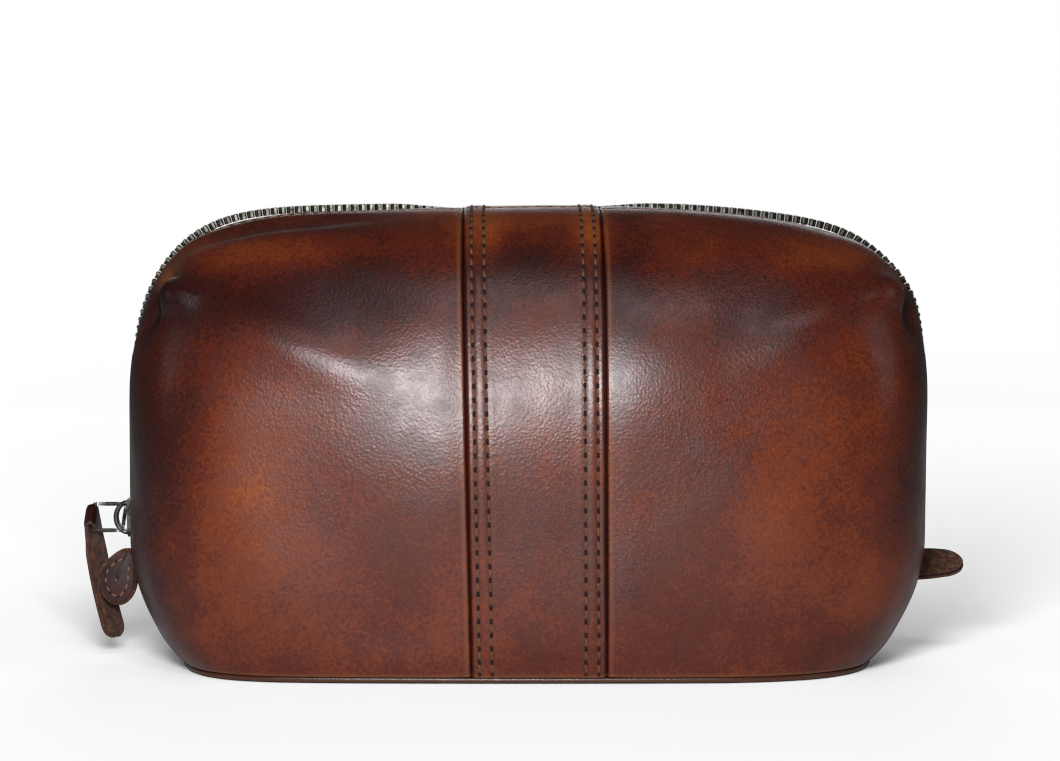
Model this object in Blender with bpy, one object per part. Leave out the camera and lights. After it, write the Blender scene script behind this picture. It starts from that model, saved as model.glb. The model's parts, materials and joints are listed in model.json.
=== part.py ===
"""Shaving kit bag: a zipped leather wash bag with a dome-shaped body.

Sizes are in millimetres; solid() and the joint parents turn them into metres.
X runs along the zip, -Y is the front, +Z is up, and the origin is the middle of the underside.
The leather is sewn from a flat base and six skins. A loose upper front half and an upper back
half lean apart on a line through the two ends of the zip, and slip down outside the lower skins.
"""
import math

import bmesh
import bpy
import numpy as np
from mathutils import Vector

# overall shape
LENGTH = 264.0
DEPTH = 116.0
HEIGHT = 150.0
WAIST_Z = 40.0           # level where the body is longest and deepest
LENGTH_POWER = 8.5       # squareness of the body towards its two ends
DEPTH_POWER = 2.5        # squareness towards the front and back
HEIGHT_POWER = 3.2       # squareness towards the top
TOP_CROWN = 2.0          # how much lower the zip runs at the ends of the top than at its middle
END_TAPER = 0.105        # share of the length lost between the waist and the base
FACE_TAPER = 0.03        # share of the depth lost between the waist and the base
ROLL_END = 0.045         # share of the length that the rolled bottom corner takes
ROLL_FACE = 0.03         # share of the depth that the rolled bottom corner takes
ROLL_START = 0.72        # how far down from the waist that roll begins

# materials of the walls
LEATHER = 1.6
LINING = 0.7
TAPE = 0.6
BOARD = 1.5
GAP = 0.3                # clearance between pieces that touch
LAYER_GAP = 0.65         # clearance between curved layers, which are cut into flat faces

# mouth
MOUTH_Z = 36.0           # level of both zip ends, and of the line the halves lean on
MOUTH_ANGLE = math.radians(15.0)
SKIN_OVERLAP = 6.0       # how far the lower skins reach up inside the halves
LINING_RIM = 4.0         # from the lower skins' rim up to the halves' lining
LINING_ENDS = 22.0       # from the zip ends up to the halves' lining
BASIN_RIM_Z = 62.0
BASIN_CURVE = 4.0        # height of the curve between the basin's floor and its wall
BASIN_TUCK = 3.0         # how far that curve draws the floor in

# centre panel: where its two seams meet the base and the zip
SEAM_LEFT = (-17.5, -21.0)
SEAM_RIGHT = (25.0, 23.5)

# zip
EDGE_HALF = 5.5          # leather edge to the middle of the zip
EDGE_OPENS = 7.0         # height over which the two edges part above the zip end
TAPE_HALF = 12.0
TEETH_IN = 0.8
TEETH_CLEAR = 2.5        # leather edge to the teeth
TEETH_OUT = EDGE_HALF - TEETH_CLEAR
TEETH_SINK = 0.9         # top of the teeth below the outer face of the leather
TEETH_TALL = 2.5
ZIP_START = 4.0          # zip end to the first tooth
STOP_LENGTH = 2.4

# slider and pull
SLIDER_LENGTH = 12.6
SLIDER_SIDE = 0.9        # leather edge to the slider
SLIDER_HALF = EDGE_HALF - SLIDER_SIDE
PLATE = 1.6
INNER_PLATE = 0.9
SLIDER_CLEAR = 0.6       # slider plates to the teeth
# half the outline of a plate, tail first: shares of the half width and of the half length
SLIDER_SHAPE = ((0.45, -1.0), (0.8, -0.7), (0.86, 0.1), (1.0, 0.45), (0.72, 1.0))
POST_HALF = 0.5
POST_START = 1.0         # above the slider's middle
POST_SHARE = 0.4         # share of the slider's length that the post's top stands above its middle
CROWN_REACH = 4.6        # how far the crown stands off the outer plate
CROWN_BAND = 1.4
CROWN_WIDTH = 3.0
CROWN_INSET = 0.6        # crown's feet from the ends of the plate
WIRE = 1.2
LOOP_REACH = 11.0
LOOP_HALF = 5.9
LOOP_CORNER = 1.2
LOOP_TILT = math.radians(42.0)
STRAP_THICK = 1.3
STRAP_HALF = 4.4
STRAP_LENGTH = 41.0
STRAP_LEAN = math.radians(11.0)
STRAP_PARTS, STRAP_CLOSES = 2.0, 9.0    # below the bar, where the two legs draw together
STRAP_TWIST = 14.0       # length over which it turns from along the bar to flat
STRAP_FLAT = (0.42, 0.9, 0.0)           # the way across it where it hangs flat
STRAP_ROUNDS = 0.8       # share of the length at which its end begins to round
STRAP_ENDS = 1.05        # share of the length at which the rounding would close
STRAP_TIP = 0.12         # how blunt the rounded end is

# leather tabs over the zip ends
TAB_THICK = 1.4
TAB_HALF = 5.6
LEFT_TAB_DROP = 7.0      # radius of the bend in which it droops
LEFT_TAB_NECK = 4.0      # from the lower skin to the bend
LEFT_TAB_TAIL = (2.4, 4.2, 5.4)         # steps below the bend, as its end rounds
LEFT_TAB_END = (0.93, 0.72, 0.3)        # shares of the half width at those steps
LEFT_TAB_Y = -8.0
LEFT_TAB_SINK = (TAB_THICK + GAP - LEFT_TAB_Y) * math.sin(MOUTH_ANGLE) + GAP    # under the leaning edge
LEFT_TAB_Z = MOUTH_Z - TAB_HALF - LEFT_TAB_SINK
RIGHT_TAB_LENGTH = 14.0
RIGHT_TAB_RISE = 1.2
RIGHT_TAB_TILT = math.radians(-140.0)

# how finely the curved pieces are cut into faces
COLUMNS = 16
ROWS = 12
CROWDING = 1.4           # over 1 draws the rows together towards the zip, where the wall bends
RING = 64

MM = 0.001
FRONT, BACK = 1.0, -1.0

for old in list(bpy.data.objects):
    bpy.data.objects.remove(old, do_unlink=True)


# ---------------------------------------------------------------- materials
def material(name, colour, roughness, metallic=0.0):
    made = bpy.data.materials.new(name)
    made.use_nodes = True
    surface = made.node_tree.nodes["Principled BSDF"]
    surface.inputs["Base Color"].default_value = (*colour, 1.0)
    surface.inputs["Roughness"].default_value = roughness
    surface.inputs["Metallic"].default_value = metallic
    made.diffuse_color = (*colour, 1.0)
    return made


OILED_LEATHER = material("oiled_leather", (0.13, 0.035, 0.017), 0.4)
TAB_LEATHER = material("tab_leather", (0.11, 0.04, 0.02), 0.6)
STEEL = material("antique_steel", (0.28, 0.25, 0.22), 0.35, 1.0)
NICKEL = material("nickel_teeth", (0.55, 0.5, 0.45), 0.3, 1.0)
TAPE_CLOTH = material("zip_tape_cloth", (0.035, 0.025, 0.02), 0.9)
LINING_CLOTH = material("lining_cloth", (0.12, 0.09, 0.06), 0.9)
BOARD_STOCK = material("stiffener_board", (0.2, 0.15, 0.1), 0.8)


# ---------------------------------------------------------------- building blocks
def solid(name, points, faces, finish, smooth=True):
    """A mesh object from points in millimetres, with its faces turned outwards."""
    mesh = bpy.data.meshes.new(name)
    mesh.from_pydata([tuple(MM * c for c in p) for p in points], [], faces)
    shape = bmesh.new()
    shape.from_mesh(mesh)
    bmesh.ops.recalc_face_normals(shape, faces=shape.faces)
    shape.to_mesh(mesh)
    shape.free()
    if smooth:
        mesh.shade_smooth()
    mesh.materials.append(finish)
    made = bpy.data.objects.new(name, mesh)
    bpy.context.collection.objects.link(made)
    return made


def slab(name, outer, inner, finish):
    """A closed sheet between two grids of points, each rows by columns by 3."""
    rows, columns = outer.shape[:2]
    count = rows * columns
    points = np.concatenate([outer.reshape(-1, 3), inner.reshape(-1, 3)])
    at = np.arange(count).reshape(rows, columns)
    faces = []
    for r in range(rows - 1):
        for c in range(columns - 1):
            quad = [at[r, c], at[r, c + 1], at[r + 1, c + 1], at[r + 1, c]]
            faces.append([int(v) for v in quad])
            faces.append([int(v) + count for v in reversed(quad)])
    rim = [*at[0, :-1], *at[:-1, -1], *at[-1, :0:-1], *at[:0:-1, 0]]
    for here, there in zip(rim, rim[1:] + rim[:1]):
        faces.append([int(here), int(there), int(there) + count, int(here) + count])
    return solid(name, points, faces, finish)


def loft(name, rings, finish):
    """A closed solid through rings of points, with a flat end on the first and the last."""
    size = len(rings[0])
    points = np.concatenate(rings)
    faces = [list(range(size)), list(range(len(points) - size, len(points)))]
    for k in range(len(rings) - 1):
        for c in range(size):
            n = (c + 1) % size
            faces.append([k * size + c, k * size + n, (k + 1) * size + n, (k + 1) * size + c])
    return solid(name, points, faces, finish)


def unit(v):
    return v / np.linalg.norm(v, axis=-1, keepdims=True)


def ease(x, low, high):
    """0 below low, 1 above high, and a smooth step between."""
    u = np.clip((x - low) / (high - low), 0.0, 1.0)
    return u * u * (3.0 - 2.0 * u)


def ribbon(name, path, across, half_widths, thick, finish):
    """A strip of leather along a path, as wide as half_widths along across at each point."""
    path, across = np.array(path, float), unit(np.array(across, float))
    along = unit(np.gradient(path, axis=0))
    normal = unit(np.cross(along, across))
    side = across * np.array(half_widths, float)[:, None]
    lift = normal * thick / 2
    outer = np.stack([path - side + lift, path + side + lift], axis=1)
    inner = np.stack([path - side - lift, path + side - lift], axis=1)
    return slab(name, outer, inner, finish)


def joint_parent(name, place, *pieces):
    """An empty on a joint's axis that carries the pieces that turn or slide on it."""
    pivot = bpy.data.objects.new(name, None)
    pivot.location = Vector(place) * MM
    bpy.context.collection.objects.link(pivot)
    for piece in pieces:
        piece.parent = pivot
        piece.matrix_parent_inverse.translation = -pivot.location
    return pivot


# ---------------------------------------------------------------- the body's surface
HALF_L, HALF_D = LENGTH / 2, DEPTH / 2
HEART = np.array([0.0, 0.0, 55.0])     # the point inside that the wall is drawn out from
HEART_PULL = 0.45        # how much less than the wall it moves along the bag, at the ends
WALL_FOOT_Z = LEATHER + GAP


def plan_sizes(z):
    """Half length and half depth of the body at a level."""
    down = np.clip((WAIST_Z - z) / WAIST_Z, 0.0, 1.0)
    bend = np.clip((down - ROLL_START) / (1.0 - ROLL_START), 0.0, 1.0)
    roll = 1.0 - np.sqrt(1.0 - 0.96 * bend**2)
    half_l = HALF_L * (1.0 - END_TAPER * down**1.6 - ROLL_END * roll)
    half_d = HALF_D * (1.0 - FACE_TAPER * down**2 - ROLL_FACE * roll)
    return half_l, half_d


def fullness(p):
    """Under 1 inside the body, 1 on its outer face and over 1 outside."""
    half_l, half_d = plan_sizes(p[..., 2])
    top = HEIGHT - WAIST_Z - TOP_CROWN * (p[..., 0] / HALF_L) ** 2
    along = (np.abs(p[..., 0]) / half_l) ** LENGTH_POWER
    out = (np.abs(p[..., 1]) / half_d) ** DEPTH_POWER
    up = np.clip((p[..., 2] - WAIST_Z) / top, 0.0, None) ** HEIGHT_POWER
    return along + out + up


def cast(aims, heart=HEART):
    """The points of the outer face that lie from a point inside towards the aims."""
    way = unit(np.asarray(aims, float) - heart)
    near, far = np.zeros(way.shape[:-1]), np.full(way.shape[:-1], LENGTH + HEIGHT)
    for _ in range(44):
        middle = (near + far) / 2
        outside = fullness(heart + way * middle[..., None]) > 1.0
        far = np.where(outside, middle, far)
        near = np.where(outside, near, middle)
    return heart + way * near[..., None]


def inset(points, depth):
    """Points of the outer face moved in by a depth, along the face's normal."""
    slope = [fullness(points + d) - fullness(points - d) for d in 0.05 * np.eye(3)]
    return points - unit(np.stack(slope, axis=-1)) * np.asarray(depth)[..., None]


def spaced(line, places):
    """Points at even shares of a polyline's length."""
    steps = np.linalg.norm(np.diff(line, axis=0), axis=1)
    run = np.concatenate([[0.0], np.cumsum(steps)])
    return np.stack([np.interp(np.asarray(places) * run[-1], run, c) for c in line.T], axis=-1)


def base_edge(grow=0.0):
    """The front half of the wall's foot, from the left end round to the right end."""
    half_l, half_d = plan_sizes(WALL_FOOT_Z)
    turn = np.linspace(-math.pi / 2, math.pi / 2, 4001)
    x = (half_l + grow) * np.sign(turn) * np.abs(np.sin(turn)) ** (2 / LENGTH_POWER)
    y = -(half_d + grow) * np.abs(np.cos(turn)) ** (2 / DEPTH_POWER)
    return np.stack([x, y, np.full_like(x, WALL_FOOT_Z)], axis=-1)


def zip_line(start_z):
    """The zip's middle line on the outer face, from the left end over the top to the right."""
    turn = np.linspace(-0.75 * math.pi, 0.75 * math.pi, 1601)
    aims = HEART + np.stack([np.sin(turn), np.zeros_like(turn), np.cos(turn)], axis=-1)
    line = cast(aims)
    line = line[line[:, 2] >= start_z - 1.0]
    ends = [np.interp(start_z, half[:, 2], half[:, 0]) for half in (line[:400], line[:-400:-1])]
    line = line[line[:, 2] > start_z]
    return np.concatenate([[[ends[0], 0, start_z]], line, [[ends[1], 0, start_z]]])


def panel_stops(line, seams):
    """Where the centre panel's seams fall along a line, as shares of its length."""
    run = np.concatenate([[0.0], np.cumsum(np.linalg.norm(np.diff(line, axis=0), axis=1))])
    middle = np.abs(line[:, 0]) < 0.4 * HALF_L
    return [0.0, *np.interp(seams, line[middle, 0], run[middle] / run[-1]), 1.0]


FOOT, ZIP = base_edge(), zip_line(MOUTH_Z)
FOOT_STOPS = panel_stops(FOOT, (SEAM_LEFT[0], SEAM_RIGHT[0]))
ZIP_STOPS = panel_stops(ZIP, (SEAM_LEFT[1], SEAM_RIGHT[1]))


def wall(s, t):
    """The front wall's outer face: s runs 0, 1, 2, 3 over its panels, t from the base to the zip."""
    foot = spaced(FOOT, np.interp(s, [0, 1, 2, 3], FOOT_STOPS))
    head = spaced(ZIP, np.interp(s, [0, 1, 2, 3], ZIP_STOPS))
    parting = ease(head[:, 2], MOUTH_Z, MOUTH_Z + EDGE_OPENS)
    head[:, 1] = -GAP / 2 - (EDGE_HALF - GAP / 2) * parting
    foot[:, 1] = np.minimum(foot[:, 1], -GAP / 2)
    middle = (foot[:, 0] + head[:, 0]) / 2
    heart = np.outer(middle * (1 - HEART_PULL * (middle / HALF_L) ** 2), (1, 0, 0)) + HEART
    low, high = unit(foot - heart)[:, None], unit(cast(head) - heart)[:, None]
    angle = np.arccos(np.sum(low * high, axis=-1, keepdims=True))
    t, heart = np.asarray(t)[..., None], heart[:, None]
    return cast(heart + low * np.sin((1 - t) * angle) + high * np.sin(t * angle), heart)


def share_at(s, level):
    """The share t of the wall at which each column s reaches the level that level(y) gives."""
    tries = np.linspace(0.0, 1.0, 161)
    face = wall(s, np.broadcast_to(tries, (len(s), 161)))
    above = face[..., 2] - level(face[..., 1])
    return np.array([np.interp(0.0, column, tries) for column in above])


def sheet(name, s_span, t_low, t_high, depth, thick, finish, side, rows=ROWS, columns=COLUMNS):
    """A piece of the wall, thick from depth inwards; depth may be a function of the points."""
    s = np.linspace(*s_span, columns)
    mix = 1.0 - np.linspace(1.0, 0.0, rows) ** CROWDING
    low, high = t_low(s)[:, None], t_high(s)[:, None]
    face = wall(s, low + (high - low) * mix)
    near = depth(face) if callable(depth) else np.full(face.shape[:-1], depth)
    outer, inner = inset(face, near), inset(face, near + thick)
    flip = np.array([1.0, side, 1.0])
    return slab(name, outer * flip, inner * flip, finish)


def at_level(level):
    return lambda s: share_at(s, level)


def all_way(s):
    return np.ones_like(s)


def none_way(s):
    return np.zeros_like(s)


def column_at(z):
    """How far along the left panel the zip edge reaches a level."""
    tries = np.linspace(0.0, 1.0, 401)
    head = spaced(ZIP, np.interp(tries, [0, 1], ZIP_STOPS[:2]))
    return float(np.interp(z, head[:200, 2], tries[:200]))


# ---------------------------------------------------------------- leather
SEAM = 0.0015                                   # share of a panel left open at its seams
SPREAD = math.tan(MOUTH_ANGLE)
SLIP = HALF_D * (1.0 - math.cos(MOUTH_ANGLE))   # how far in a half's lower edge swings
STEP_IN = LEATHER + SLIP + GAP        # lower skins sit this far in, so the halves pass
FIRST = column_at(MOUTH_Z + ZIP_START)          # where the upper panels begin, beside the zip end
SPANS = {
    "left": (FIRST, 1.0 - SEAM),
    "centre": (1.0 + SEAM, 2.0 - SEAM),
    "right": (2.0 + SEAM, 3.0 - FIRST),
}


def lower_rim(y):
    return MOUTH_Z + SKIN_OVERLAP * ease(np.abs(y), EDGE_HALF + 1.0, EDGE_HALF + 9.0)


def upper_rim(y):
    return MOUTH_Z + GAP + 0.0 * y


def step_in(face):
    return STEP_IN * ease(face[..., 2], WALL_FOOT_Z + 2.0, MOUTH_Z / 2)


def lower_skins(word, side):
    spans = {**SPANS, "left": (0.0, 1.0 - SEAM), "right": (2.0 + SEAM, 3.0)}
    for place, span in spans.items():
        columns = COLUMNS if place != "centre" else COLUMNS // 2
        sheet(f"{word}_lower_{place}", span, none_way, at_level(lower_rim), step_in, LEATHER,
              OILED_LEATHER, side, rows=7, columns=columns)


def upper_half(word, side):
    """The leather panels, zip tape, teeth and lining that lean together."""
    pieces = []
    for place, span in SPANS.items():
        columns = COLUMNS + 8 if place != "centre" else COLUMNS // 2
        pieces.append(sheet(f"{word}_{place}_panel", span, at_level(upper_rim), all_way, 0.0,
                            LEATHER, OILED_LEATHER, side, columns=columns))
    pieces.append(zip_strip(f"{word}_zip_tape", TEETH_OUT + GAP, TAPE_HALF, LEATHER + LAYER_GAP,
                            TAPE, TAPE_CLOTH, side))
    pieces.append(zip_strip(f"{word}_zip_teeth", TEETH_IN, TEETH_OUT, TEETH_SINK,
                            TEETH_TALL, NICKEL, side))
    lining_in = LEATHER + TAPE + 2 * LAYER_GAP
    start = column_at(MOUTH_Z + LINING_ENDS)
    pieces.append(sheet(f"{word}_lining", (start, 3.0 - start), at_level(lining_rim),
                        lambda s: all_way(s) - 0.012, lining_in, LINING, LINING_CLOTH, side,
                        columns=2 * COLUMNS + 8))
    joint_parent(f"{word}_half_joint", (0, 0, MOUTH_Z), *pieces)


def lining_rim(y):
    return MOUTH_Z + SKIN_OVERLAP + LINING_RIM + np.abs(y) * SPREAD


# ---------------------------------------------------------------- zip
def zip_strip(name, near, far, depth, thick, finish, side):
    """A strip beside the zip's middle line, from near to far off it."""
    line = spaced(zip_line(MOUTH_Z + ZIP_START), np.linspace(0.0, 1.0, 4 * COLUMNS))
    rows = [cast(line + (0.0, -off, 0.0)) for off in (near, far)]
    face = np.stack(rows, axis=1)
    flip = np.array([1.0, side, 1.0])
    return slab(name, inset(face, np.full(face.shape[:-1], depth)) * flip,
                inset(face, np.full(face.shape[:-1], depth + thick)) * flip, finish)


def box(name, low, high, finish):
    low, high = np.array(low, float), np.array(high, float)
    corners = [np.where([i & 1, i & 2, i & 4], high, low) for i in range(8)]
    faces = [(0, 1, 3, 2), (4, 5, 7, 6), (0, 1, 5, 4), (2, 3, 7, 6), (0, 2, 6, 4), (1, 3, 7, 5)]
    return solid(name, corners, faces, finish, smooth=False)


def end_stop(name, side):
    """The small bar that closes the teeth at one end of the zip; the teeth lean out above it."""
    teeth_low = ZIP_START * math.cos(MOUTH_ANGLE) - TEETH_OUT * math.sin(MOUTH_ANGLE)
    low = MOUTH_Z + teeth_low - GAP - STOP_LENGTH
    reach = float(cast([[side * LENGTH, 0.0, low]])[0, 0])
    inner, outer = reach - side * (TEETH_SINK + TEETH_TALL), reach - side * TEETH_SINK
    box(name, (min(inner, outer), -TEETH_OUT, low), (max(inner, outer), TEETH_OUT, low + STOP_LENGTH),
        STEEL)


# ---------------------------------------------------------------- base
RING_SHARES = np.linspace(0.0, 1.0, RING, endpoint=False)


def foot_ring(grow, z):
    """The whole outline of the wall's foot, grown or shrunk, at a level."""
    half = spaced(base_edge(grow), np.linspace(0.0, 1.0, RING // 2 + 1))
    half[:, 2] = z
    return np.concatenate([half, (half * (1, -1, 1))[-2:0:-1]])


def level_ring(z, depth):
    """A ring inside the wall at a level, a depth in from the outer face."""
    turn = np.linspace(0.0, 2 * math.pi, 4001)
    level = np.array([0.0, 0.0, z])
    way = np.stack([np.sin(turn), np.cos(turn)], axis=-1)
    way = np.sign(way) * np.abs(way) ** (2 / LENGTH_POWER, 2 / DEPTH_POWER) * (HALF_L, HALF_D)
    ring = spaced(cast(np.column_stack([way, np.full(len(way), z)]), level), RING_SHARES)
    slope = np.stack([fullness(ring + d) - fullness(ring - d) for d in 0.05 * np.eye(3)[:2]], -1)
    ring[:, :2] -= unit(slope) * depth
    return ring


def base():
    """The flat leather base with its stiffener, and the cloth basin that stands on them."""
    loft("base_panel", [foot_ring(0.0, 0.0), foot_ring(0.0, LEATHER)], OILED_LEATHER)
    low, in_wall = LEATHER + GAP, -(LEATHER + 2 * GAP)
    loft("base_board", [foot_ring(in_wall, low), foot_ring(in_wall, low + BOARD)], BOARD_STOCK)
    floor = low + BOARD + GAP
    depth = STEP_IN + LEATHER + LAYER_GAP
    levels = [(floor, depth + BASIN_TUCK), (floor + BASIN_CURVE, depth + BASIN_TUCK / 5),
              (MOUTH_Z / 2, depth), (WAIST_Z, depth), (BASIN_RIM_Z, depth)]
    outer = [level_ring(z, d) for z, d in levels]
    inner = [level_ring(max(z, floor + LINING), d + LINING) for z, d in reversed(levels)]
    loft("lining_basin", outer + inner, LINING_CLOTH)


# ---------------------------------------------------------------- slider and its pull
SLIDER_Z = MOUTH_Z + ZIP_START + SLIDER_LENGTH / 2
SIDE_X = float(cast([[-LENGTH, 0.0, SLIDER_Z]])[0, 0])     # the wall's left side at the slider
PLATE_X = SIDE_X + TEETH_SINK - SLIDER_CLEAR - PLATE       # outer face of the outer plate


def slider_outline(x):
    """The outline of a slider plate in the plane at x: wide shoulders and a narrow tail."""
    ring = [(x, w * SLIDER_HALF, SLIDER_Z + h * SLIDER_LENGTH / 2) for w, h in SLIDER_SHAPE]
    return np.array(ring + [(x, -y, z) for x, y, z in reversed(ring)])


def slider():
    inner_x = SIDE_X + TEETH_SINK + TEETH_TALL + SLIDER_CLEAR
    plates = [loft("slider_body", [slider_outline(PLATE_X), slider_outline(PLATE_X + PLATE)], STEEL)]
    plates.append(loft("inner_plate", [slider_outline(inner_x), slider_outline(inner_x + INNER_PLATE)],
                       STEEL))
    plates.append(box("post", (PLATE_X + PLATE / 2, -POST_HALF, SLIDER_Z + POST_START),
                      (inner_x + INNER_PLATE / 2, POST_HALF, SLIDER_Z + POST_SHARE * SLIDER_LENGTH),
                      STEEL))
    for cutter in plates[1:]:
        join = plates[0].modifiers.new(cutter.name, "BOOLEAN")
        join.operation, join.object = "UNION", cutter
    bake(plates[0], plates[1:])
    crown = crown_arch()
    loop = pull_loop()
    strap = pull_strap()
    slide = joint_parent("slider_joint", (SIDE_X, 0, SLIDER_Z), plates[0], crown)
    swing = joint_parent("loop_joint", LOOP_PIVOT, loop)
    hang = joint_parent("strap_joint", BAR_MIDDLE, strap)
    swing.parent, hang.parent = slide, swing
    swing.matrix_parent_inverse.translation = -slide.location
    hang.matrix_parent_inverse.translation = -swing.location


def bake(keep, gone):
    """Put the modifiers' result into the mesh and drop the helper objects."""
    bpy.context.view_layer.update()
    shape = bpy.data.meshes.new_from_object(keep.evaluated_get(bpy.context.evaluated_depsgraph_get()))
    keep.modifiers.clear()
    keep.data = shape
    for helper in gone:
        bpy.data.objects.remove(helper, do_unlink=True)


def crown_arch():
    """The bridge on the slider that holds the wire loop."""
    bend = np.linspace(-math.pi / 2, math.pi / 2, 13)
    rise, half_z = CROWN_REACH - CROWN_BAND / 2, (SLIDER_LENGTH - CROWN_BAND) / 2 - CROWN_INSET
    path = [(PLATE_X - GAP - rise * math.cos(a), 0.0, SLIDER_Z + half_z * math.sin(a)) for a in bend]
    return ribbon("slider_crown", path, [(0, 1, 0)] * 13, [CROWN_WIDTH / 2] * 13, CROWN_BAND, STEEL)


LOOP_PIVOT = np.array([PLATE_X - 3 * GAP - WIRE / 2, 0.0, SLIDER_Z])
BAR_MIDDLE = LOOP_PIVOT - (LOOP_REACH, 0.0, 0.0)
LOOP_ACROSS = np.array([0.0, math.cos(LOOP_TILT), math.sin(LOOP_TILT)])


def pull_loop():
    """A rectangle of wire with rounded corners, as a closed tube."""
    corner, turns = LOOP_CORNER, 4
    stops = []
    for k, (along, across) in enumerate([(0, -1), (1, -1), (1, 1), (0, 1)]):
        middle_x = -corner if along == 0 else corner - LOOP_REACH
        middle_w = across * (LOOP_HALF - corner)
        first = (math.pi, math.pi / 2, 0.0, -math.pi / 2)[k]
        for n in range(turns + 1):
            a = first - n * math.pi / 2 / turns
            stops.append((middle_x - corner * math.cos(a), middle_w - corner * math.sin(a)))
    middle = [LOOP_PIVOT + (x, 0, 0) + LOOP_ACROSS * w for x, w in stops]
    return tube("pull_loop", np.array(middle), WIRE / 2, STEEL)


def tube(name, path, radius, finish, sides=8):
    """A closed ring of wire along a flat loop of points."""
    along = unit(np.roll(path, -1, axis=0) - np.roll(path, 1, axis=0))
    flat = unit(np.cross(path[5] - path[0], path[10] - path[0]))
    out = np.cross(along, flat)
    turn = np.linspace(0, 2 * math.pi, sides, endpoint=False)
    rings = [p + radius * (np.outer(np.cos(turn), o) + np.outer(np.sin(turn), flat))
             for p, o in zip(path, out)]
    points, count = np.concatenate(rings), len(path)
    faces = []
    for k in range(count):
        for c in range(sides):
            n, m = (c + 1) % sides, (k + 1) % count
            faces.append([k * sides + c, k * sides + n, m * sides + n, m * sides + c])
    return solid(name, points, faces, finish)


def pull_strap():
    """One strip of leather folded over the wire's outer bar, both ends hanging down."""
    bend = WIRE / 2 + GAP / 2 + STRAP_THICK / 2
    part = STRAP_THICK / 2 + GAP / 2
    lean = np.array([math.sin(STRAP_LEAN), 0.0, -math.cos(STRAP_LEAN)])
    side = np.array([math.cos(STRAP_LEAN), 0.0, math.sin(STRAP_LEAN)])
    reach = np.array([1.0, 0.86, 0.7, 0.5, 0.32, 0.18, 0.08]) * STRAP_LENGTH
    apart = part + (bend - part) * (1.0 - ease(reach, STRAP_PARTS, STRAP_CLOSES))
    leg = [(BAR_MIDDLE + lean * r, side * a, r) for r, a in zip(reach, apart)]
    path = [m + o for m, o, _ in leg]
    turn = np.linspace(0, math.pi, 9)
    over = -unit(lean - LOOP_ACROSS * (lean @ LOOP_ACROSS))
    path += [BAR_MIDDLE + bend * (side * math.cos(a) + over * math.sin(a)) for a in turn]
    path += [m - o for m, o, _ in reversed(leg)]
    hangs = [r for *_, r in leg] + [0.0] * 9 + [r for *_, r in reversed(leg)]
    twist = ease(np.array(hangs), 0.0, STRAP_TWIST)
    across = [LOOP_ACROSS * (1 - w) + np.array(STRAP_FLAT) * w for w in twist]
    rounding = ease(np.array(hangs) / STRAP_LENGTH, STRAP_ROUNDS, STRAP_ENDS)
    halves = STRAP_HALF * np.sqrt(np.maximum(STRAP_TIP, 1.0 - rounding))
    return ribbon("pull_strap", path, across, halves, STRAP_THICK, TAB_LEATHER)


# ---------------------------------------------------------------- tabs over the zip ends
def tab(names, middle, across, halves, normal, hinge, joint_name):
    """Two layers of leather sewn back to back, that flex together at the bag's wall."""
    layers = []
    for name, lift in zip(names, (0.5, -0.5)):
        path = np.array(middle) + np.array(normal) * lift * (TAB_THICK + GAP)
        layers.append(ribbon(name, path, across, halves, TAB_THICK, TAB_LEATHER))
    joint_parent(joint_name, hinge, *layers)


def left_tab():
    """It leaves the wall sideways and droops, flat towards the front."""
    skin = float(cast([[-LENGTH, LEFT_TAB_Y, MOUTH_Z]])[0, 0]) + STEP_IN
    bend = np.radians(np.linspace(8.0, 92.0, 8))
    drop = LEFT_TAB_DROP
    middle = [(skin - GAP, -0.2 * LEFT_TAB_NECK), (skin - 0.7 * LEFT_TAB_NECK, 0.0)]
    middle += [(skin - LEFT_TAB_NECK - drop * math.sin(a), drop * (math.cos(a) - 1.0)) for a in bend]
    middle += [(middle[-1][0], middle[-1][1] - step) for step in LEFT_TAB_TAIL]
    path = [(x, LEFT_TAB_Y, LEFT_TAB_Z + z) for x, z in middle]
    along = unit(np.gradient(np.array(path), axis=0))
    across = np.cross(along, (0.0, 1.0, 0.0))
    grown = ease(np.arange(len(path)), 0.0, 4.0)
    halves = TAB_HALF * (0.55 + 0.45 * grown)
    halves[-3:] = TAB_HALF * np.array(LEFT_TAB_END)
    hinge = (skin - STEP_IN - GAP, LEFT_TAB_Y, LEFT_TAB_Z)
    tab(("left_tab_face", "left_tab_back"), path, across, halves, (0.0, -1.0, 0.0), hinge,
        "left_tab_joint")


def right_tab():
    """It stands straight out, with its front edge tipped down."""
    skin = float(cast([[LENGTH, 0.0, MOUTH_Z]])[0, 0]) - STEP_IN
    across = np.array([0.0, math.cos(RIGHT_TAB_TILT), math.sin(RIGHT_TAB_TILT)])
    normal = np.array([0.0, -math.sin(RIGHT_TAB_TILT), math.cos(RIGHT_TAB_TILT)])
    normal *= np.sign(normal[2])
    length = STEP_IN + RIGHT_TAB_LENGTH
    reach = np.array([0.0, 0.3, 0.55, 0.74, 0.86, 0.94, 0.98, 1.0]) * length
    round_end = np.clip((reach - length + TAB_HALF) / TAB_HALF, 0.0, 0.97)
    middle = [(skin + GAP + r, 0.0, MOUTH_Z - TAB_HALF + RIGHT_TAB_RISE * r / length) for r in reach]
    hinge = (skin + STEP_IN, 0.0, MOUTH_Z - TAB_HALF)
    tab(("right_tab_upper", "right_tab_lower"), middle, [across] * len(reach),
        TAB_HALF * np.sqrt(1.0 - round_end**2), normal, hinge, "right_tab_joint")


base()
for half_name, half_side in (("front", FRONT), ("back", BACK)):
    lower_skins(half_name, half_side)
    upper_half(half_name, half_side)
end_stop("left_end_stop", -1)
end_stop("right_end_stop", 1)
slider()
left_tab()
right_tab()
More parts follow.
